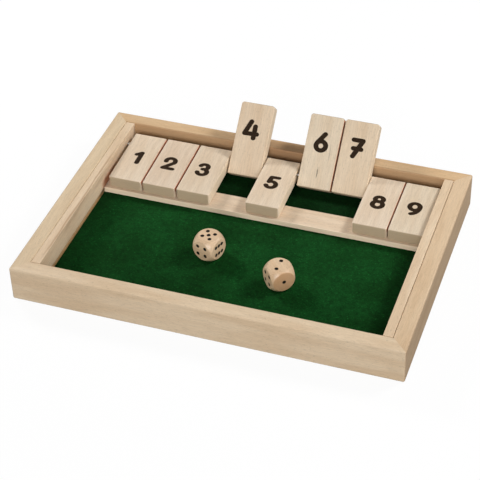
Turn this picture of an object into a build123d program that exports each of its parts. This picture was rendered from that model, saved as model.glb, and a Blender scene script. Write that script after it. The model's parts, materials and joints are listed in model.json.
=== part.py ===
"""A nine-number dice game: a shallow wooden tray, lined with felt, with nine number tiles on a
steel rod, a bar that the tiles lie on, and two dice.

Millimetres and degrees. The origin is under the middle of the whole game, on the table, +X runs
to the tray's right end, +Y to the tiles' end and +Z up.
"""

from build123d import *
import os
from math import acos, atan2, cos, degrees, hypot, radians, sin, sqrt

os.makedirs("parts", exist_ok=True)

# ---- Driving dimensions ----

# Tray: four mitred rails, as long as the row of tiles needs
tray_width = 180
tray_height = 24.5
rail_thickness = 10.5
outer_round = 1.2  # outer edges and corners
foot_round = 1.0  # outer edges on the table
inner_round = 0.8  # inner top edges

# Base panel, held in a groove round the rails, and the felt glued to it
panel_rise = 3  # from the table to the panel's underside
panel_thickness = 3
groove_depth = 4
panel_play = 0.5  # what the panel stops short of the groove's bottom
felt_thickness = 1

# Side strips, which line the end rails and carry the rod
strip_width = 6
strip_seam = 0.2  # between a strip and its rail
seam_round = 0.4  # top edge towards the rail
strip_flat = 0.1  # what stays level on top between that edge and the large round towards the tiles

# Rest bar, which the tiles' free ends lie on
bar_width = 16.8
bar_thickness = 3.6
bar_lead = 1.9  # how far its front face stands before the tiles' free ends
bar_front_round = 1.2
bar_back_round = 0.5
bar_end_gap = 0.1

# Rod
rod_diameter = 2.5
rod_inset = 13.4  # from the rod to the back rail
rod_socket = 4.5  # depth of its hole in each strip
rod_end_play = 0.3
rod_chamfer = 0.3
socket_clearance = 0.03  # radial

# Number tiles
tile_count = 9
tile_width = 23.4
tile_thickness = 8.4
tile_gap = 0.9
slid = {6: 0.85, 7: 0.85, 8: 0.2}  # how far tiles have slid right from even gaps
row_start_gap = 3.1  # from the left strip to the first tile
row_end_gap = 0.7  # from the last tile to the right strip
tile_reach = 42.5  # from the rod to the free end
heel_length = 7.8  # from the rod to the pivot end, where the felt leaves room for it
heel_round = 0.9  # long edges of the pivot end
heel_clearance = 0.15  # least gap between the pivot end and the felt as a tile swings
tile_slope = 2.2  # how far a lying tile falls towards its free end, in degrees
corner_round = 1.8  # corners of the free end, seen from above
tile_edge_round = 0.7
bore_clearance = 0.06  # radial, round the rod
seat_gap = 0.05  # between a lying tile and the bar
lean_gap = 0.15  # between a raised tile and the back rail's edge
raised_tiles = (4, 6, 7)

# Dice
die_size = 16
ball_excess = 5.2  # how much wider than a die the ball is that rounds its corners
pip_diameter = 2.1
pip_depth = 0.35
pip_spacing = 2.9  # from a face's middle to the next row of pips
# Middle of each die from the tray's middle, the heading of its six, and whether its five is down
dice_places = ((-19.7, -20.2, -18.4, False), (32.1, -34.9, 131.9, True))

# ---- Sizes worked out from them ----

tile_pitch = tile_width + tile_gap
row_length = tile_count * tile_pitch - tile_gap
strip_face = (row_start_gap + row_length + row_end_gap) / 2  # half the room between the strips
strip_round = strip_width - seam_round - strip_flat
inner_length = 2 * (strip_face + strip_width + strip_seam)
tray_length = inner_length + 2 * rail_thickness
inner_width = tray_width - 2 * rail_thickness
panel_top = panel_rise + panel_thickness
felt_top = panel_top + felt_thickness
bar_top = felt_top + bar_thickness
# A lying tile stands on the lower edge of its free end: the rod is this far above that edge.
free_end_drop = (
    (tile_reach - tile_edge_round) * sin(radians(tile_slope))
    + (tile_thickness / 2 - tile_edge_round) * cos(radians(tile_slope))
    + tile_edge_round
)
rod_rise = bar_top + seat_gap + free_end_drop
rod_back = inner_width / 2 - rod_inset  # from the tray's middle to the rod
rod_length = 2 * (strip_face + rod_socket - rod_end_play)
bar_front = rod_back - tile_reach - bar_lead  # from the tray's middle to the bar's front face
last_tile = strip_face - row_end_gap - tile_width / 2  # middle of the last tile, from the middle

# The pivot end is never so long that its rounded corners touch the felt as they swing.
swing_room = rod_rise - felt_top - heel_clearance - heel_round
longest_heel = heel_round + sqrt(swing_room**2 - (tile_thickness / 2 - heel_round) ** 2)
tile_heel = min(heel_length, longest_heel)

# A raised tile leans on the rounded inner edge of the back rail. This is how far from upright it
# is where its back face comes within lean_gap of that edge.
edge_back = inner_width / 2 + inner_round - rod_back
edge_rise = tray_height - inner_round - rod_rise
stand_off = tile_thickness / 2 + inner_round + lean_gap
lean = degrees(acos(stand_off / hypot(edge_back, edge_rise)) - atan2(edge_rise, edge_back))
tile_travel = tile_slope + 90 + lean

# The raised tiles reach behind the tray, so the tray's middle lies this far from the origin.
raised_back = (
    rod_back
    + (tile_reach - tile_edge_round) * sin(radians(lean))
    + (tile_thickness / 2 - tile_edge_round) * cos(radians(lean))
    + tile_edge_round
)
tray_y = -max(raised_back - tray_width / 2, 0) / 2


def level(height):
    """A level plane at this height, over the tray's middle."""
    return Plane((0, tray_y, height))


def across(x):
    """An upright plane at x that faces +X: its x runs to the back and its y up."""
    return Plane((x, tray_y, 0), x_dir=(0, 1, 0), z_dir=(1, 0, 0))


def tile_middle(number):
    """The x of the middle of this tile."""
    return last_tile - (tile_count - number) * tile_pitch + slid.get(number, 0)


# ---- Rails: one ring, rounded and grooved, then cut at the mitres ----

with BuildPart() as ring:
    with BuildSketch(level(0)):
        Rectangle(tray_length, tray_width)
        Rectangle(inner_length, inner_width, mode=Mode.SUBTRACT)
    extrude(amount=tray_height)
    corners = ring.edges().filter_by(Axis.Z).sort_by_distance((0, tray_y, tray_height / 2))[-4:]
    top = ring.faces().sort_by(Axis.Z)[-1]
    fillet(corners + top.outer_wire().edges(), outer_round)
    fillet(ring.faces().sort_by(Axis.Z)[0].outer_wire().edges(), foot_round)
    fillet(ring.faces().sort_by(Axis.Z)[-1].inner_wires()[0].edges(), inner_round)
    with BuildSketch(level(panel_rise)):
        Rectangle(inner_length + 2 * groove_depth, inner_width + 2 * groove_depth)
    extrude(amount=panel_thickness, mode=Mode.SUBTRACT)

corner_signs = ((-1, -1), (1, -1), (1, 1), (-1, 1))  # from the front left one, anticlockwise
outer_corners = [(x * tray_length / 2, y * tray_width / 2) for x, y in corner_signs]
inner_corners = [(x * inner_length / 2, y * inner_width / 2) for x, y in corner_signs]


def rail(side):
    """The rail from the corner of this number to the next one."""
    first, second = side, (side + 1) % 4
    with BuildPart() as piece:
        add(ring.part)
        with BuildSketch(level(0)):
            with BuildLine():
                Polyline(
                    outer_corners[first],
                    outer_corners[second],
                    inner_corners[second],
                    inner_corners[first],
                    close=True,
                )
            make_face()
        extrude(amount=tray_height, mode=Mode.INTERSECT)
    return piece


front_rail = rail(0)
right_rail = rail(1)
back_rail = rail(2)
left_rail = rail(3)

# ---- Base panel and felt ----

with BuildPart() as base_panel:
    with BuildSketch(level(panel_rise)):
        in_groove = 2 * (groove_depth - panel_play)
        Rectangle(inner_length + in_groove, inner_width + in_groove)
    extrude(amount=panel_thickness)

with BuildPart() as felt_sheet:
    with BuildSketch(level(panel_top)):
        Rectangle(2 * strip_face, inner_width)
    extrude(amount=felt_thickness)

# ---- Side strips: a rounded section as long as the tray's inside, with a blind hole ----

with BuildPart() as right_strip:
    back_end = Plane((0, tray_y + inner_width / 2, 0), x_dir=(1, 0, 0), z_dir=(0, -1, 0))
    with BuildSketch(back_end) as section:
        with Locations((strip_face, panel_top)):
            Rectangle(strip_width, tray_height - panel_top, align=(Align.MIN, Align.MIN))
        fillet(section.vertices().group_by(Axis.Z)[-1].sort_by(Axis.X)[0], strip_round)
        fillet(section.vertices().group_by(Axis.Z)[-1].sort_by(Axis.X)[-1], seam_round)
    extrude(amount=inner_width)
    with BuildSketch(across(strip_face)):
        with Locations((rod_back, rod_rise)):
            Circle(rod_diameter / 2 + socket_clearance)
    extrude(amount=rod_socket, mode=Mode.SUBTRACT)

with BuildPart() as left_strip:
    mirror(right_strip.part, about=Plane.YZ)

# ---- Rest bar ----

with BuildPart() as rest_bar:
    bar_length = 2 * (strip_face - bar_end_gap)
    with BuildSketch(across(-bar_length / 2)) as section:
        with Locations((bar_front, felt_top)):
            Rectangle(bar_width, bar_thickness, align=(Align.MIN, Align.MIN))
        fillet(section.vertices().group_by(Axis.Z)[-1].sort_by(Axis.Y)[0], bar_front_round)
        fillet(section.vertices().group_by(Axis.Z)[-1].sort_by(Axis.Y)[-1], bar_back_round)
    extrude(amount=bar_length)

# ---- Rod ----

with BuildPart() as hinge_rod:
    with BuildSketch(across(-rod_length / 2)):
        with Locations((rod_back, rod_rise)):
            Circle(rod_diameter / 2)
    extrude(amount=rod_length)
    chamfer(hinge_rod.edges().filter_by(GeomType.CIRCLE), rod_chamfer)

# ---- Number tiles ----


def number_tile(number):
    """A tile on the rod. Its plane stands on the rod: x along it, y to the free end, and z out
    of the face that shows when the tile is raised.
    """
    x = tile_middle(number)
    turn = radians((tile_travel if number in raised_tiles else 0) - tile_slope)
    shown_way = (0, -sin(turn), -cos(turn))
    place = Plane((x, tray_y + rod_back, rod_rise), x_dir=(1, 0, 0), z_dir=shown_way)
    with BuildPart() as tile:
        with BuildSketch(place):
            with Locations((0, -tile_heel)):
                Rectangle(tile_width, tile_reach + tile_heel, align=(Align.CENTER, Align.MIN))
        extrude(amount=tile_thickness / 2, both=True)
        ends = tile.faces().sort_by(Axis(place.origin, place.y_dir))
        heel, free_end = ends[0].edges(), ends[-1].edges()
        fillet(heel.filter_by(Axis.X), heel_round)
        fillet(free_end - free_end.filter_by(Axis.X), corner_round)
        fillet([edge for edge in tile.edges() if not edge.is_interior], tile_edge_round)
        with BuildSketch(across(x)):
            with Locations((rod_back, rod_rise)):
                Circle(rod_diameter / 2 + bore_clearance)
        extrude(amount=tile_width, both=True, mode=Mode.SUBTRACT)
    return tile


tiles = {f"tile_{number}": number_tile(number) for number in range(1, tile_count + 1)}

# ---- Dice: a cube within a ball, and drilled pips; opposite faces add up to seven ----

s = pip_spacing
pips = {
    1: [(0, 0)],
    2: [(-s, s), (s, -s)],
    3: [(-s, s), (0, 0), (s, -s)],
    4: [(-s, -s), (s, -s), (-s, s), (s, s)],
    5: [(-s, -s), (s, -s), (0, 0), (-s, s), (s, s)],
    6: [(-s, -s), (0, -s), (s, -s), (-s, s), (0, s), (s, s)],
}


def die(x, y, heading, five_down):
    """A die on the felt. Its plane has the six at +x, the four at -y and the five at +z."""
    turn = radians(heading)
    middle = Vector(x, tray_y + y, felt_top + die_size / 2)
    own = Plane(middle, x_dir=(cos(turn), sin(turn), 0), z_dir=(0, 0, -1 if five_down else 1))
    right, back, up = own.x_dir, own.y_dir, own.z_dir
    half = die_size / 2
    # Each face's value, the way it faces, and the way its own x runs
    faces = (
        (5, up, right),
        (2, -up, right),
        (6, right, back),
        (1, -right, back),
        (4, -back, right),
        (3, back, right),
    )
    with BuildPart() as piece:
        with BuildSketch(own.offset(-half)):
            Rectangle(die_size, die_size)
        extrude(amount=die_size)
        with Locations(middle):
            Sphere((die_size + ball_excess) / 2, mode=Mode.INTERSECT)
        for value, out, along in faces:
            with BuildSketch(Plane(middle + out * half, x_dir=along, z_dir=out)):
                with Locations(*pips[value]):
                    Circle(pip_diameter / 2)
            extrude(amount=-pip_depth, mode=Mode.SUBTRACT)
    return piece


dice = {f"die_{index}": die(*place) for index, place in enumerate(dice_places, 1)}

# ---- Write every piece ----

pieces = {
    "front_rail": front_rail,
    "back_rail": back_rail,
    "left_rail": left_rail,
    "right_rail": right_rail,
    "base_panel": base_panel,
    "felt_sheet": felt_sheet,
    "left_strip": left_strip,
    "right_strip": right_strip,
    "rest_bar": rest_bar,
    "hinge_rod": hinge_rod,
    **tiles,
    **dice,
}
for name, piece in pieces.items():
    piece.part.label = name
    export_step(piece.part, f"parts/{name}.step")

print(f"rod at y {tray_y + rod_back:.3f}, z {rod_rise:.3f}; tiles turn {tile_travel:.3f} degrees")
print(f"tray's middle at y {tray_y:.3f}; the raised tiles reach {raised_back:.2f} behind it")
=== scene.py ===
# %% [markdown]
# # A nine-number dice game in wood, felt and ink
# The game is a shallow beech tray with a green felt floor, nine number tiles on a steel rod and two
# dice. Its construction comes in as a fixed frame and is not changed here. What this lesson adds is
# everything that the eye judges: the grain of each piece of wood, the pile of the felt, the printed
# numbers, the pips of the dice, the steel, and a plain studio to look at them in.

import json
from math import cos, pi, radians, sin

import bpy
import numpy as np
from mathutils import Matrix, Quaternion, Vector


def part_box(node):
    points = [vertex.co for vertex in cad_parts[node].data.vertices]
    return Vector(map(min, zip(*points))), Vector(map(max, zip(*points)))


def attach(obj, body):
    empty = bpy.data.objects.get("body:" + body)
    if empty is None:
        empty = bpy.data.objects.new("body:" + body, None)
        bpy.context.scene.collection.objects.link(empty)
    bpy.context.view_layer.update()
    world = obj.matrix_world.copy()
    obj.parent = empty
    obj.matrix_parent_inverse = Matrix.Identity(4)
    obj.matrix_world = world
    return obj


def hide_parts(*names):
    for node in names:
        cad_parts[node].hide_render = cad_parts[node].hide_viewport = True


MM = 0.001  # the sizes below are in millimetres, and Blender counts in metres

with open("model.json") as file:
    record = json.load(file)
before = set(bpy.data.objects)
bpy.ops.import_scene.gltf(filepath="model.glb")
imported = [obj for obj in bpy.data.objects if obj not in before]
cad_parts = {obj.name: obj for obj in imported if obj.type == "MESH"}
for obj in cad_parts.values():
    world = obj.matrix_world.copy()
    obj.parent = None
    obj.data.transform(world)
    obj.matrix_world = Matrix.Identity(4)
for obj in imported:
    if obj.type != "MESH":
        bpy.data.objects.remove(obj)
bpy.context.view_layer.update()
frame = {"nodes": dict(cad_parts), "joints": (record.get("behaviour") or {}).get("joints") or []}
nodes = frame["nodes"]

# %% [markdown]
# ## Camera
# The game is seen from its front right, a little under forty degrees above the table, through a
# long lens. A long lens far away keeps the tray's sides nearly parallel, which is how such games
# are photographed for sale. A camera is easiest to place by two points: where it stands and what
# it looks at. A last turn round its own axis gives the slight tilt of a camera held by hand.

# %% Camera
camera_place = Vector((264.4, -741.9, 649.2)) * MM
camera_aim = Vector((-3.65, -10.35, 11.85)) * MM
camera_roll = radians(-1.89)
lens_mm = 116.6  # on Blender's 36 mm wide sensor

camera = bpy.data.objects.new("camera", bpy.data.cameras.new("camera"))
camera.data.lens = lens_mm
camera.data.clip_start = 0.05
camera.location = camera_place
camera.rotation_mode = "QUATERNION"
sight = (camera_aim - camera_place).to_track_quat("-Z", "Y")
camera.rotation_quaternion = sight @ Quaternion((0, 0, 1), camera_roll)
bpy.context.scene.collection.objects.link(camera)
bpy.context.scene.camera = camera
print("the camera stands", round((camera_aim - camera_place).length, 3), "m from the game")

# %% [markdown]
# ## Light
# Each die throws two soft shadows, one to its left and one to its right, both a little towards the
# viewer. So two lamps stand behind the game, one on each side, and they are small enough to give
# the shadows an edge. The front faces are bright as well, so a third, wide lamp stands low in
# front, and a weak fourth one fills from the right. A lamp's share says how much of a white card's
# brightness it gives when the card faces it: on a level face the shares and the sky's own level
# add up to about one, so that a colour renders about as it is written.

# %% Lamps and sky
sky_level = 0.09
# name, the way from the game to the lamp, its distance in metres, its width in metres, its share
lamps = (
    ("lamp_back_right", (0.60, 0.42, 0.68), 0.9, 0.2, 0.52),
    ("lamp_back_left", (-0.75, 0.37, 0.55), 0.9, 0.2, 0.49),
    ("lamp_front", (0.12, -0.92, 0.36), 1.5, 0.9, 0.75),
    ("lamp_right", (0.93, -0.10, 0.36), 1.5, 0.9, 0.18),
)


def add_lamp(name, way, distance, width, share):
    """A square lamp that faces the game. Power is share times pi squared times distance squared."""
    data = bpy.data.lights.new(name, "AREA")
    data.size = width
    data.energy = share * pi**2 * distance**2
    lamp = bpy.data.objects.new(name, data)
    lamp.location = Vector(way).normalized() * distance
    lamp.rotation_mode = "QUATERNION"
    lamp.rotation_quaternion = Vector(way).to_track_quat("Z", "Y")
    bpy.context.scene.collection.objects.link(lamp)


for lamp in lamps:
    add_lamp(*lamp)

bpy.context.scene.view_settings.view_transform = "Standard"

# %% [markdown]
# ## Shader sums
# A finish is a sum of patterns. Written as nodes, even a short sum is long, so a small class wraps
# an output socket, and Python's own signs add the Math nodes: `1 - mask * 0.3` is two nodes. All
# other nodes come from one method, which sets a node's options first and then its sockets.


# %% Shader helpers
def tone(red, green, blue):
    """A colour as a picture editor gives it, 0 to 255, as the linear numbers that Blender reads."""
    share = np.array([red, green, blue]) / 255
    linear = np.where(share <= 0.04045, share / 12.92, ((share + 0.055) / 1.055) ** 2.4)
    return (*linear.tolist(), 1.0)


class Pattern:
    """A value or colour that changes over a surface: one output socket of a finish's node tree."""

    def __init__(self, finish, socket):
        self.finish = finish
        self.socket = socket

    def sum(self, operation, *values):
        """A Math node of this operation on these values, in this order."""
        return self.finish.add("Math", {"operation": operation}, dict(enumerate(values)))

    def __add__(self, other):
        return self.sum("ADD", self, other)

    def __sub__(self, other):
        return self.sum("SUBTRACT", self, other)

    def __rsub__(self, other):
        return self.sum("SUBTRACT", other, self)

    def __mul__(self, other):
        return self.sum("MULTIPLY", self, other)

    def __truediv__(self, other):
        return self.sum("DIVIDE", self, other)

    def __pow__(self, other):
        return self.sum("POWER", self, other)

    def __abs__(self):
        return self.sum("ABSOLUTE", self)

    __radd__ = __add__
    __rmul__ = __mul__

    def least(self, other):
        return self.sum("MINIMUM", self, other)

    def most(self, other):
        return self.sum("MAXIMUM", self, other)

    def rise(self, low, high):
        """0 below low, 1 above high, and a smooth step between; high below low makes a fall."""
        if high < low:
            return 1 - self.rise(high, low)
        settings = {"interpolation_type": "SMOOTHSTEP"}
        return self.finish.add("MapRange", settings, {"Value": self, 1: low, 2: high})

    def axes(self):
        """The three numbers of a place."""
        split = self.finish.add("SeparateXYZ", {}, {0: self})
        return [Pattern(self.finish, socket) for socket in split.socket.node.outputs]


class Finish:
    """One material: a Principled surface, and a method that adds any other node."""

    def __init__(self, name, **surface):
        self.material = bpy.data.materials.new(name)
        self.material.use_nodes = True
        self.tree = self.material.node_tree
        self.surface = self.tree.nodes["Principled BSDF"]
        self.place = self.add("TexCoord", {}, {}, "Object")
        for socket, value in surface.items():
            self.set(socket.replace("_", " "), value)

    def add(self, kind, settings, sockets, output=0):
        """Adds a node, sets its options, then sets or links its sockets, and gives one output."""
        node = self.tree.nodes.new("ShaderNode" + kind)
        for option, value in settings.items():
            setattr(node, option, value)
        for key, value in sockets.items():
            self.fill(node.inputs[key], value)
        return Pattern(self, node.outputs[output])

    def fill(self, socket, value):
        if isinstance(value, Pattern):
            self.tree.links.new(value.socket, socket)
        else:
            socket.default_value = value

    def set(self, socket, value):
        """Sets or links a socket of the surface itself."""
        self.fill(self.surface.inputs[socket], value)

    def mix(self, share, first, second):
        """The first colour where share is 0, the second where it is 1."""
        return self.add("Mix", {"data_type": "RGBA"}, {0: share, 6: first, 7: second}, 2)

    def shade(self, colour, share):
        """A colour made darker or lighter by a share that changes over the surface."""
        colour = colour if isinstance(colour, Pattern) else colour[:3]
        return self.add("VectorMath", {"operation": "SCALE"}, {0: colour, "Scale": share})

    def standing(self, matrix):
        """The place in millimetres in the axes of this matrix, which stands on the piece."""
        sockets = {
            "Vector": self.place,
            "Location": matrix.translation,
            "Rotation": matrix.to_euler(),
            "Scale": (MM, MM, MM),
        }
        return self.add("Mapping", {"vector_type": "TEXTURE"}, sockets)

    def noise(self, place, size, detail=2.0):
        """Cloudy noise whose patches measure size: a number of millimetres, or three."""
        sizes = (size,) * 3 if isinstance(size, (int, float)) else size
        place = self.add("VectorMath", {"operation": "DIVIDE"}, {0: place, 1: sizes})
        return self.add("TexNoise", {}, {"Vector": place, "Scale": 1.0, "Detail": detail}, 0)

    def bump(self, height, depth):
        """Relief of this depth in millimetres."""
        self.set("Normal", self.add("Bump", {}, {"Height": height, "Distance": depth * MM}))


def wear(node, finish):
    """Gives a piece of the frame its finish."""
    materials = nodes[node].data.materials
    materials.clear()
    materials.append(finish.material)


# %% [markdown]
# ## Studio
# The game stands on a white table in front of nothing. Seen by the camera, the table is mostly a
# white that shines by itself, with a part of plain white that takes the game's shadow. Seen by the
# game it is darker, because in the photograph the outer right side gets little light from below.
# Gloss sees the darker level too: that keeps a pale veil off the wood, but it also makes the steel
# rod mirror a dim room instead of the white one.

# %% Table and sky
table_size = 6.0
shadow_share = 0.06  # how much of the table's white takes the shadow
table_bounce = 0.15  # how bright the table is as the game sees it


def table_finish():
    finish = Finish("table_white")
    lit = finish.add("BsdfDiffuse", {}, {"Color": (1, 1, 1, 1)})
    glow = finish.add("Emission", {}, {"Color": (1, 1, 1, 1), "Strength": 1.0})
    shown = finish.add("MixShader", {}, {0: shadow_share, 1: glow, 2: lit})
    level = (table_bounce, table_bounce, table_bounce, 1)
    bounced = finish.add("BsdfDiffuse", {}, {"Color": level})
    camera_ray = finish.add("LightPath", {}, {}, "Is Camera Ray")
    surface = finish.add("MixShader", {}, {0: camera_ray, 1: bounced, 2: shown})
    finish.tree.links.new(surface.socket, finish.tree.nodes["Material Output"].inputs[0])
    return finish


def add_table():
    """A flat square under the game, a hair lower than the rails."""
    half, rise = table_size / 2, -0.00005
    corners = [(-half, -half, rise), (half, -half, rise), (half, half, rise), (-half, half, rise)]
    mesh = bpy.data.meshes.new("table")
    mesh.from_pydata(corners, [], [(0, 1, 2, 3)])
    mesh.materials.append(table_finish().material)
    table = bpy.data.objects.new("table", mesh)
    bpy.context.scene.collection.objects.link(table)


def add_sky():
    """An even sky: white to the camera, and dimmer as a light."""
    world = bpy.data.worlds.new("sky")
    world.use_nodes = True
    bpy.context.scene.world = world
    tree = world.node_tree
    path = tree.nodes.new("ShaderNodeLightPath")
    level = tree.nodes.new("ShaderNodeMapRange")
    level.inputs["To Min"].default_value = sky_level
    level.inputs["To Max"].default_value = 1.0
    tree.links.new(path.outputs["Is Camera Ray"], level.inputs["Value"])
    background = tree.nodes["Background"]
    background.inputs["Color"].default_value = (1, 1, 1, 1)
    tree.links.new(level.outputs[0], background.inputs["Strength"])


add_table()
add_sky()

# %% [markdown]
# ## Wood
# All the wood is one pale, close-grained kind under a thin satin lacquer. Such wood has broad
# cloudy bands of warmer and paler colour, fine lines along the grain, and short dark flecks that
# also lie along it. One recipe makes them all, worked out in axes that stand on the piece with y
# along its grain. The pieces differ in their colour, in their part of the tree, and in how far the
# recipe is turned up. Cut ends drink more lacquer, so they are darker and show rings, not lines.


# %% Wood recipe
def wood(name, colour, axes, ends=None, marks=(), strength=1.0, gloss=0.46):
    """A finish of wood whose grain runs along y of axes.

    ends is the low and the high y of the cut ends, in millimetres, and the colour there.
    Each mark is a dark dash along the grain: its middle, its half length and width, its depth.
    """
    finish = Finish(name, Specular_IOR_Level=0.2, Coat_Roughness=0.3)
    here = finish.standing(axes)
    bands = finish.noise(here, (7, 60, 7), 3.0)
    streaks = finish.noise(here, (0.7, 20, 0.7), 4.0)
    lines = finish.noise(here, (0.45, 7, 0.45), 3.0)
    fleck_noise = finish.noise(here, (0.32, 2.0, 0.32), 1.0)
    flecks = fleck_noise.rise(0.62, 0.72)

    pale = tone(*[min(level * 1.03 + 4, 255) for level in colour])
    warm = tone(colour[0] * 0.975, colour[1] * 0.94, colour[2] * 0.90)
    paint = finish.mix(bands.rise(0.34, 0.68) * (0.6 * strength), pale, warm)
    grain = 1 - (streaks - 0.5) * (0.15 * strength) - (lines - 0.5) * (0.34 * strength)
    for middle, half_length, half_width, depth in marks:
        offset = finish.add("VectorMath", {"operation": "SUBTRACT"}, {0: here, 1: middle})
        x, y, z = offset.axes()
        wander = (finish.noise(here, (1.5, 2.5, 1.5)) - 0.5) * half_width
        dash = abs(x + wander).rise(half_width, 0) * abs(y).rise(half_length, half_length * 0.3)
        grain = grain - dash * abs(z).rise(3.0, 2.0) * depth
    grain = grain - flecks * (0.2 * strength)
    paint = finish.shade(paint, grain)
    height = lines * 0.6 + streaks * 0.4 - flecks * 0.5
    rough = (streaks - 0.5) * 0.12 + gloss
    if ends:
        low, high, end_colour = ends
        y = here.axes()[1]
        cut = y.rise(high - 0.6, high - 0.2).most(y.rise(low + 0.6, low + 0.2))
        rings = finish.noise(here, (5.0, 60, 0.8), 3.0)
        pores = finish.noise(here, (0.25, 3, 0.25), 1.0)
        end_paint = finish.shade(tone(*end_colour), 1.08 - rings * 0.14 - pores * 0.08)
        paint = finish.mix(cut, paint, end_paint)
        rough = rough + cut * 0.16
    finish.set("Base Color", paint)
    finish.set("Roughness", rough)
    finish.set("Coat Weight", 0.04)
    finish.bump(height, 0.03)
    return finish


def tint(finish, share, colour):
    """Mixes a colour over the finish's own by a share that changes over the surface."""
    paint = Pattern(finish, finish.surface.inputs["Base Color"].links[0].from_socket)
    finish.set("Base Color", finish.mix(share, paint, colour))


def grain_axes(way, origin):
    """Axes with y along the grain, z up or to the right, and an origin that picks the tree's part."""
    y = Vector(way).normalized()
    z = Vector((0, 0, 1))
    matrix = Matrix((y.cross(z), y, z)).transposed().to_4x4()
    matrix.translation = Vector(origin) * MM
    return matrix


# %% [markdown]
# ## Tray
# The four rails come from different lengths of the same board, so their patterns don't meet at the
# mitres, which is what makes a mitre show. Parts of the photograph are browner or paler than any
# even light makes them: the back rail's inner wall, which lies in shade, and its top behind the
# raised tiles, where their shadow falls. There painted shade, a second colour mixed over the wood,
# stands for that shade and shadow, by a mask that reads the place in the game's own frame. It is a
# painter's way out, and it stays where it is when the light or a tile moves.

# %% Rails
rail_width = 10.5
# Colours mixed over the wood: painted shade and the left strip's streak, painted shadow, painted light
painted_shade_and_streak_brown = tone(150, 108, 70)
painted_shadow_brown = tone(120, 78, 48)
painted_light_pale = tone(252, 232, 204)
# Each rail's colour, the way its grain runs, and the part of the tree it comes from
rails = {
    "front_rail": ((212, 190, 161), (1, 0, 0), (13, 40, 7)),
    "back_rail": ((204, 173, 135), (1, 0, 0), (83, -60, 30)),
    "left_rail": ((208, 186, 155), (0, 1, 0), (-50, 21, 90)),
    "right_rail": ((207, 181, 149), (0, 1, 0), (37, 160, -44)),
}


def beyond(finish, axis, place, reach=0.4):
    """1 where the x, y or z (axis 0, 1 or 2) of the frame is past a place in millimetres."""
    return finish.standing(Matrix()).axes()[axis].rise(place - reach, place + reach)


def paint_shade_on_back_rail(finish, back):
    """Paints shade on a rail that ends at y = back: on its inner wall, and a shadow on its top behind
    tiles 4 to 7.
    """
    inner_wall = back - rail_width + 1
    # Painted shade: the inner wall is mixed browner
    tint(finish, (1 - beyond(finish, 1, inner_wall)) * 0.5, painted_shade_and_streak_brown)
    x = finish.standing(Matrix()).axes()[0]
    # Painted shadow: the raised tiles' shadow on the top behind them, mixed darker
    painted_tile_shadow = abs(x - 6).rise(60, 20)
    tint(finish, painted_tile_shadow * (1 - beyond(finish, 1, back - 2, 6)) * 0.4, painted_shadow_brown)


for node, (colour, way, origin) in rails.items():
    finish = wood(node + "_wood", colour, grain_axes(way, origin))
    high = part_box(node)[1] / MM
    if node == "back_rail":
        paint_shade_on_back_rail(finish, high[1])
    if node == "right_rail":  # its outer wall is a little darker
        # Painted shade: the right rail's outer wall is mixed a little darker
        tint(finish, beyond(finish, 0, high[0] - 0.4) * 0.14, painted_shade_and_streak_brown)
    wear(node, finish)
print("rails:", len(rails))

# %% [markdown]
# ## Strips, bar and panel
# The strips that line the end rails and the bar are a touch paler than the rails. The left strip
# has a brown streak along its rounded edge, and a reddish patch low on its wall beside tile 1 that
# is painted shade in the gap to the tile. The bar's front is mixed paler: that is painted light,
# as the back rail's browning is painted shade.

# %% Strips, bar and panel
strip_colour = (216, 193, 164)
strips = {"left_strip": (71, -20, 66), "right_strip": (-61, 33, 120)}


def streak_and_shade_left_strip(finish, inner):
    """A wandering streak near the edge at x = inner, and painted shade low on the wall beside tile 1."""
    place = finish.standing(Matrix())
    x, y, z = place.axes()
    wander = (finish.noise(place, (4, 30, 4), 3.0) - 0.5) * 3.0
    edge = abs(x - (inner - 1.0) + wander).rise(1.3, 0) * z.rise(17, 19)
    tint(finish, edge * y.rise(-90, -60) * y.rise(60, 20) * 0.55, painted_shade_and_streak_brown)
    # Painted shade in the gap beside tile 1: the low part of the wall is mixed reddish brown
    low_wall_shade = x.rise(inner - 1.2, inner - 0.4) * z.rise(19, 14)
    tint(finish, low_wall_shade * y.rise(12, 20) * y.rise(52, 30) * 0.7, tone(178, 100, 62))


for node, origin in strips.items():
    finish = wood(node + "_wood", strip_colour, grain_axes((0, 1, 0), origin))
    if node == "left_strip":
        streak_and_shade_left_strip(finish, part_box(node)[1][0] / MM)
    wear(node, finish)

finish = wood("rest_bar_wood", (216, 195, 170), grain_axes((1, 0, 0), (5, 5, 5)))
bar_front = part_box("rest_bar")[0][1] / MM
# Painted light: the bar's front is mixed paler
tint(finish, (1 - beyond(finish, 1, bar_front + 0.5)) * 0.6, painted_light_pale)
wear("rest_bar", finish)
wear("base_panel", wood("base_panel_wood", (196, 164, 120), grain_axes((1, 0, 0), (9, 90, 40))))
print("the bar's front is at y =", round(bar_front, 2), "mm")

# %% [markdown]
# ## Number tiles
# A tile's axes stand on the rod, and its hinge in the frame says where that is and how far the tile
# is turned: x runs along the rod, y to the free end, and z out of the face that shows when the tile
# stands up. With these axes one recipe serves tiles that lie down and tiles that lean back. The
# recipe is the same in each tile's own axes, so all nine share one pattern of grain and differ in
# colour and marks only. A part of the tree of its own for each tile would be closer to the game.

# %% Tiles
tile_thickness = 8.4
tile_reach = 42.5  # from the rod to the free end
tile_heel = 7.8  # from the rod to the pivot end
tile_slope = 2.2  # how far a lying tile falls towards its free end, in degrees
end_grain = (186, 166, 138)
tile_colours = {
    1: (215, 197, 174),
    2: (212, 193, 171),
    3: (212, 194, 171),
    4: (214, 193, 167),
    5: (215, 197, 174),
    6: (215, 198, 174),
    7: (214, 194, 168),
    8: (215, 197, 175),
    9: (213, 197, 174),
}
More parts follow.
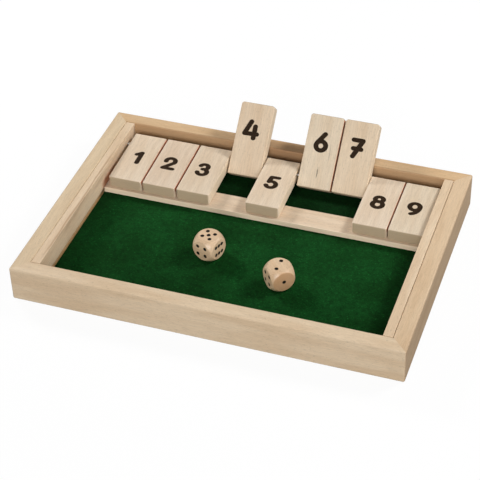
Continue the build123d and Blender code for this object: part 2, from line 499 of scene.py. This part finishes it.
# Dark dashes in the grain of two tiles: middle, half length, half width, depth
tile_marks = {
    1: (((-0.5, 10.0, -4), 1.6, 0.9, 0.06),),
    6: (((0.5, 3.0, 4), 4.5, 0.6, 0.75), ((6.2, 18.0, 4), 6.5, 0.5, 0.3)),
}
# Painted shade: these tiles' right sides stand in narrow gaps and are mixed reddish brown there
gap_shaded_sides = (1, 2, 6, 8, 9)  # their right sides show only as a brown line in a gap
raised = (4, 6, 7)  # the others lie down
# The painted gap shade and the painted paler light of the right sides begin this far from the middle
painted_side_start = 11.35  # how far from a tile's middle its right side's own tone begins
hinges = {joint["child"]: joint for joint in frame["joints"] if joint["type"] == "hinge"}


def tile_axes(number):
    """The matrix of a tile's own axes at rest."""
    hinge = hinges[f"tile_{number}"]
    turn = radians(-hinge["range_deg"][0] - tile_slope)  # nothing but the slope when it lies
    out = Vector((0, -sin(turn), -cos(turn)))
    across = Vector((1, 0, 0))
    matrix = Matrix((across, out.cross(across), out)).transposed().to_4x4()
    matrix.translation = Vector(hinge["pos_m"])
    return matrix


def tile_finish(number):
    """The wood of a tile, its right side browned by painted shade in a close gap, else paled by painted
    light.
    """
    axes = tile_axes(number)
    ends = (-tile_heel, tile_reach, end_grain)
    name = f"tile_{number}_wood"
    finish = wood(name, tile_colours[number], axes, ends, tile_marks.get(number, ()))
    x, y, z = finish.standing(axes).axes()
    if number in gap_shaded_sides:
        shown = 1 if number in raised else -1  # which way the face that shows looks out
        # Painted shade: the side is mixed reddish brown near the face that shows, as in a narrow gap
        rim = (z * shown).rise(0.5, 2.0)
        tint(finish, x.rise(painted_side_start, painted_side_start + 0.25) * rim * 0.85, tone(164, 82, 48))
    else:
        # Painted light: an open right side is mixed paler
        tint(finish, x.rise(painted_side_start, painted_side_start + 0.3) * 0.5, tone(250, 232, 204))
    return finish


for number in tile_colours:
    wear(f"tile_{number}", tile_finish(number))
print("tiles:", len(tile_colours))

# %% [markdown]
# ## Printed numbers
# The numbers are printed in dark brown ink, as if drawn with a round marker that is a little wider
# than it is high. Each is a few straight strokes and arcs. The pen's edge is where the distance to
# the nearest stroke, counted in pen radii, is one. A grid covers the number, the squares inside
# that edge are kept, and the outermost corners slide onto it, so a thin film of ink with a smooth
# outline is left. It is a mesh of its own and not a picture on the wood, so it stays crisp.

# %% Strokes of the numbers
pen = np.array([1.7, 1.5])  # half the ink's width across and along the tile
ink_step = 0.2  # of the grid
ink_height = 0.03
ink_depth = 0.01  # how far the film reaches into the wood


def line(start, end):
    """A straight stroke."""
    return np.array([start, end], float)


def arc(middle, radii, first, last):
    """Part of an ellipse: middle plus radii times the cosine and sine of an angle in degrees."""
    angle = np.radians(np.linspace(first, last, 49))
    return np.array(middle) + np.array(radii) * np.c_[np.cos(angle), np.sin(angle)]


numbers = {
    1: [line((-1.6, 3.2), (1.5, 5.7)), line((1.5, 5.7), (1.45, -5.7))],
    2: [
        arc((-0.3, 2.55), (3.2, 3.15), 195, -41),
        line((2.1, 0.5), (-3.4, -5.6)),
        line((-3.4, -5.6), (3.5, -5.6)),
    ],
    3: [
        arc((-0.35, 3.05), (2.75, 2.75), 165, -70),
        line((0.6, 0.5), (-0.6, 0.45)),
        arc((-0.2, -2.55), (3.3, 3.2), 80, -165),
    ],
    4: [line((-1.0, 5.6), (-4.5, -2.9)), line((-4.5, -2.9), (4.2, -2.6)), line((2.3, 2.6), (2.25, -5.5))],
    5: [
        line((3.2, 5.7), (-1.6, 5.6)),
        line((-1.6, 5.6), (-2.2, 0.8)),
        arc((-0.1, -2.35), (3.3, 3.3), 128, -157),
    ],
    6: [arc((0, -2.55), (3.35, 3.1), 0, 360), line((1.6, 5.7), (-2.75, -0.6))],
    7: [line((-3.2, 5.5), (3.2, 5.5)), line((3.2, 5.5), (-2.0, -5.6)), line((-2.5, -0.3), (2.8, -0.4))],
    8: [arc((0, 3.1), (2.7, 2.6), 0, 360), arc((0.05, -2.4), (3.35, 3.3), 0, 360)],
    9: [arc((0, 2.2), (3.35, 3.5), 0, 360), arc((-2.6, 2.2), (5.95, 8.0), 0, -75)],
}
# How far each number is printed to the right of its tile's middle
print_shift = {
    number + 1: shift
    for number, shift in enumerate((-0.45, -0.85, -0.9, -1.0, -0.7, -0.8, -0.4, -0.45, -0.35))
}
lying_squeeze = 0.96  # the numbers of the lying tiles are printed a little lower
lying_print = 17.65  # from the rod to the number on the face that shows when the tile lies down
raised_print = 24.05  # and on the face that shows when it stands


def pen_field(points, strokes):
    """For each point, its distance to the nearest stroke in pen radii, less one."""
    points = points / pen
    nearest = np.full(len(points), np.inf)
    for stroke in strokes:
        start, end = stroke[:-1] / pen, stroke[1:] / pen
        along = end - start
        reach = points[:, None] - start
        share = np.clip((reach * along).sum(2) / (along**2).sum(1), 0, 1)
        gap = np.linalg.norm(reach - share[..., None] * along, axis=2)
        nearest = np.minimum(nearest, gap.min(1))
    return nearest - 1


def slide_to_edge(points, strokes):
    """Moves points onto the pen's edge, each by the field over its slope, against that slope."""
    small = 0.01
    for _ in range(3):
        field = pen_field(points, strokes)
        slope = [
            (pen_field(points + step, strokes) - pen_field(points - step, strokes)) / (2 * small)
            for step in (np.array([small, 0]), np.array([0, small]))
        ]
        slope = np.stack(slope, 1)
        points = points - slope * (field / (slope**2).sum(1))[:, None]
    return points


def ink_outline(strokes):
    """The points and four-cornered faces of a flat number, with its middle at the origin."""
    across = np.arange(-7.0, 7.0, ink_step)
    up = np.arange(-8.6, 8.6, ink_step)
    columns, rows = len(across), len(up)
    grid = np.stack(np.meshgrid(across, up), 2).reshape(-1, 2)
    corner = (np.arange(rows - 1)[:, None] * columns + np.arange(columns - 1)).ravel()
    faces = corner[:, None] + np.array([0, 1, columns + 1, columns])
    faces = faces[pen_field(grid[faces].mean(1), strokes) < 0]
    uses = np.bincount(faces.ravel(), minlength=len(grid))
    edge = (uses > 0) & (uses < 4)
    grid[edge] = slide_to_edge(grid[edge], strokes)
    kept = uses > 0
    renumber = np.cumsum(kept) - 1
    return grid[kept], renumber[faces]


def rim_of(faces):
    """The edges that only one face uses, each as its two corners in that face's order."""
    edges = np.stack([faces, np.roll(faces, -1, 1)], 2).reshape(-1, 2)
    _, first, uses = np.unique(np.sort(edges, 1), axis=0, return_index=True, return_counts=True)
    return edges[first[uses == 1]]


def add_piece(name, points, faces, finish, body):
    """A mesh piece in the game's own frame, from points in millimetres, riding on a body."""
    mesh = bpy.data.meshes.new(name)
    mesh.from_pydata((points * MM).tolist(), [], faces.tolist())
    mesh.materials.append(finish.material)
    mesh.polygons.foreach_set("use_smooth", np.zeros(len(faces), bool))
    mesh.validate()
    piece = bpy.data.objects.new(name, mesh)
    bpy.context.scene.collection.objects.link(piece)
    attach(piece, body)
    return piece


def ink_finish():
    """Dark brown ink, mottled a little paler in cloudy spots."""
    finish = Finish("number_ink", Roughness=0.6, Specular_IOR_Level=0.08)
    mottle = finish.noise(finish.standing(Matrix()), (0.5, 1.2, 0.5), 3.0)
    finish.set("Base Color", finish.mix(mottle.rise(0.45, 0.75), tone(42, 30, 19), tone(66, 50, 35)))
    return finish


def add_number(number, finish):
    """The number on both faces of its tile: upright when the tile lies, and when it stands."""
    flat, faces = ink_outline(numbers[number])
    squeeze = 1.0 if number in raised else lying_squeeze
    rim = rim_of(faces)
    count = len(flat)
    side = np.c_[rim[:, 1], rim[:, 0], rim[:, 0] + count, rim[:, 1] + count]
    shell = np.r_[faces, faces[:, ::-1] + count, side]
    axes = np.array(tile_axes(number))
    turn, rod = axes[:3, :3], axes[:3, 3] / MM
    top, bottom = tile_thickness / 2 + ink_height, tile_thickness / 2 - ink_depth
    # The face, which way its print's top points along the tile, which way it looks out, its place
    for face, up, out, place in (("lying", -1, -1, lying_print), ("raised", 1, 1, raised_print)):
        x = flat[:, 0] + print_shift[number]
        y = place + up * flat[:, 1] * squeeze
        levels = [np.c_[x, y, np.full(count, out * level)] for level in (top, bottom)]
        points = np.concatenate(levels) @ turn.T + rod
        body = f"tile_{number}"
        add_piece(f"ink_{number}_{face}", points, shell, finish, body)
    return count


ink = ink_finish()
for number in numbers:
    add_number(number, ink)
print("ink films:", 2 * len(numbers))

# %% [markdown]
# ## Dice
# The dice are small cubes of the same pale wood, turned to a ball at the corners and polished, with
# drilled pips painted black. The frame holds their true shape, pips and all, so only the paint is
# left to do. A pattern on its own axes finds the pips of a face from their distance in the plane of
# that face: symmetry makes four pips the distance to one, and six the distance to one of a row.

# %% Dice
die_size = 16.0
pip_radius = 1.05
pip_spacing = 2.9
# Heading of the six in degrees, and whether the five is down
die_headings = {"die_1": (-18.4, False), "die_2": (131.9, True)}


def die_axes(node, heading, five_down):
    """Axes on a die's middle: x to its six, and z to its five."""
    low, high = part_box(node)
    turn = radians(heading)
    x = Vector((cos(turn), sin(turn), 0))
    z = Vector((0, 0, -1 if five_down else 1))
    matrix = Matrix((x, z.cross(x), z)).transposed().to_4x4()
    matrix.translation = (low + high) / 2
    return matrix


def pip_gap(value, u, v):
    """How far a point of a face is from the middle of the nearest pip, in millimetres."""
    s = pip_spacing

    def length(a, b):
        return (a * a + b * b) ** 0.5

    middle = length(u, v)
    corners = length(abs(u) - s, abs(v) - s)
    if value == 1:
        return middle
    if value in (2, 3):  # on the diagonal where u and v have opposite signs
        p, q = (u - v) / 2, (u + v) / 2
        pair = length(abs(p) - s, q) * 2**0.5
        return pair if value == 2 else pair.least(middle)
    if value == 4:
        return corners
    if value == 5:
        return corners.least(middle)
    return corners.least(length(u, abs(v) - s))


def die_finish(node):
    """Polished wood with black pips, and a darker face for the one."""
    axes = die_axes(node, *die_headings[node])
    grain = axes @ Matrix.Rotation(radians(90), 4, "Z")  # its y runs along the die's x
    finish = wood(node + "_wood", (216, 188, 156), grain, gloss=0.3, strength=1.2)
    x, y, z = finish.standing(axes).axes()
    reach = die_size / 2 - 0.5
    # Each face's value, the distance out of it, and the two distances in its plane
    left, front, low = 0 - x, 0 - y, 0 - z
    faces = (
        (5, z, x, y),
        (2, low, x, front),
        (6, x, y, z),
        (1, left, y, z),
        (4, front, x, z),
        (3, y, x, low),
    )
    spots = 0.0
    for value, out, u, v in faces:
        paint = pip_gap(value, u, v).rise(pip_radius + 0.3, pip_radius + 0.15)
        spot = paint * out.rise(reach, reach + 0.02)
        spots = spot.most(spots)
    tint(finish, spots, tone(16, 11, 9))
    # The face of the one is mixed darker and browner
    tint(finish, left.rise(reach, reach + 0.4) * 0.6 * (1 - spots), tone(196, 146, 102))
    finish.set("Coat Weight", 0.5)
    return finish


for node in die_headings:
    wear(node, die_finish(node))
print("dice:", len(die_headings))

# %% [markdown]
# ## Rod
# The rod is drawn steel wire. Drawing leaves fine scratches along it, so its roughness and relief
# change quickly round the wire and slowly along it.


# %% Rod
def steel():
    finish = Finish("rod_steel", Metallic=1.0, Base_Color=tone(196, 197, 200))
    scratches = finish.noise(finish.standing(Matrix()), (30, 0.08, 0.08), 3.0)
    finish.set("Roughness", scratches * 0.2 + 0.16)
    finish.bump(scratches, 0.004)
    return finish


wear("hinge_rod", steel())
print("rod: 1")

# %% [markdown]
# ## Felt
# The floor of the tray is pressed felt glued flat to the panel. It isn't draped, so no simulation
# is needed: it is a sheet with a soft uneven surface, cut to the room between the strips and the
# rails. The relief is a sum of waves of many directions and lengths, whose heights fall with their
# length. The mottled green comes from fibres that lie different ways, in clouds a few millimetres
# wide, and from single paler fibres.

# %% Felt sheet
felt_cell = 1.0
felt_relief = 0.05  # how far the pile rises and falls
felt_low, felt_high = (np.array(corner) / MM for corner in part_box("felt_sheet"))
felt_size = felt_high - felt_low


def pile_height(x, y):
    """Sum of 40 waves: each has a random direction and phase, and a height like its length."""
    dice = np.random.default_rng(4)
    total = np.zeros_like(x)
    for _ in range(40):
        length = np.exp(dice.uniform(np.log(3), np.log(40)))
        angle, phase = dice.uniform(0, 2 * pi, 2)
        total += length**0.5 * np.sin(2 * pi * (x * cos(angle) + y * sin(angle)) / length + phase)
    return total / np.abs(total).max()


def sheet_shell(x, y, top, bottom):
    """A closed sheet from a grid of places: its top, its underside and its four rims."""
    rows, columns = x.shape
    points = np.r_[np.c_[x.ravel(), y.ravel(), top.ravel()], np.c_[x.ravel(), y.ravel(), bottom.ravel()]]
    corner = (np.arange(rows - 1)[:, None] * columns + np.arange(columns - 1)).ravel()
    faces = corner[:, None] + np.array([0, 1, columns + 1, columns])
    rim = rim_of(faces)
    count = rows * columns
    side = np.c_[rim[:, 1], rim[:, 0], rim[:, 0] + count, rim[:, 1] + count]
    return points, np.r_[faces, faces[:, ::-1] + count, side]


def felt_finish():
    """Deep green pressed wool: cloudy patches, paler and darker fibres, and painted shade near the walls.
    """
    finish = Finish("felt_green", Sheen_Weight=0.05, Sheen_Roughness=0.5, Specular_IOR_Level=0.05)
    finish.set("Sheen Tint", tone(120, 200, 120))
    finish.set("Roughness", 0.95)
    here = finish.standing(Matrix())
    clouds = finish.noise(here, 26.0, 5.0)
    tufts = finish.noise(here, 3.0, 5.0)
    fibres = finish.noise(here, (1.1, 0.7, 0.9), 3.0)
    specks = finish.noise(here, 1.1, 2.0).rise(0.60, 0.74)
    paint = finish.mix(clouds.rise(0.3, 0.7), tone(10, 54, 17), tone(15, 68, 26))
    # Painted shade: the felt near the walls and under the tiles is darker, as the photograph shows it
    x, y, z = here.axes()
    edge = abs(x).rise(88, 112) * 0.35 + y.rise(-62, -86) * 0.25 + y.rise(26, 42) * 0.6
    light = ((tufts - 0.5) * 1.0 + (fibres - 0.5) * 1.4 + 0.92 + specks * 1.1) * (1 - edge)
    finish.set("Base Color", finish.shade(paint, light))
    finish.bump(tufts * 0.5 + fibres, 0.25)
    return finish


def add_felt():
    cells = np.round(felt_size[:2] / felt_cell).astype(int)
    x, y = np.meshgrid(*[np.linspace(felt_low[k], felt_high[k], cells[k] + 1) for k in (0, 1)])
    relief = pile_height(x, y) * felt_relief
    top = felt_high[2] - felt_relief + relief - 0.005
    bottom = np.full_like(top, felt_low[2])
    points, faces = sheet_shell(x, y, top, bottom)
    felt = add_piece("felt_lining", points, faces, felt_finish(), "tray")
    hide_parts("felt_sheet")
    print("the felt has", len(faces), "faces")


add_felt()
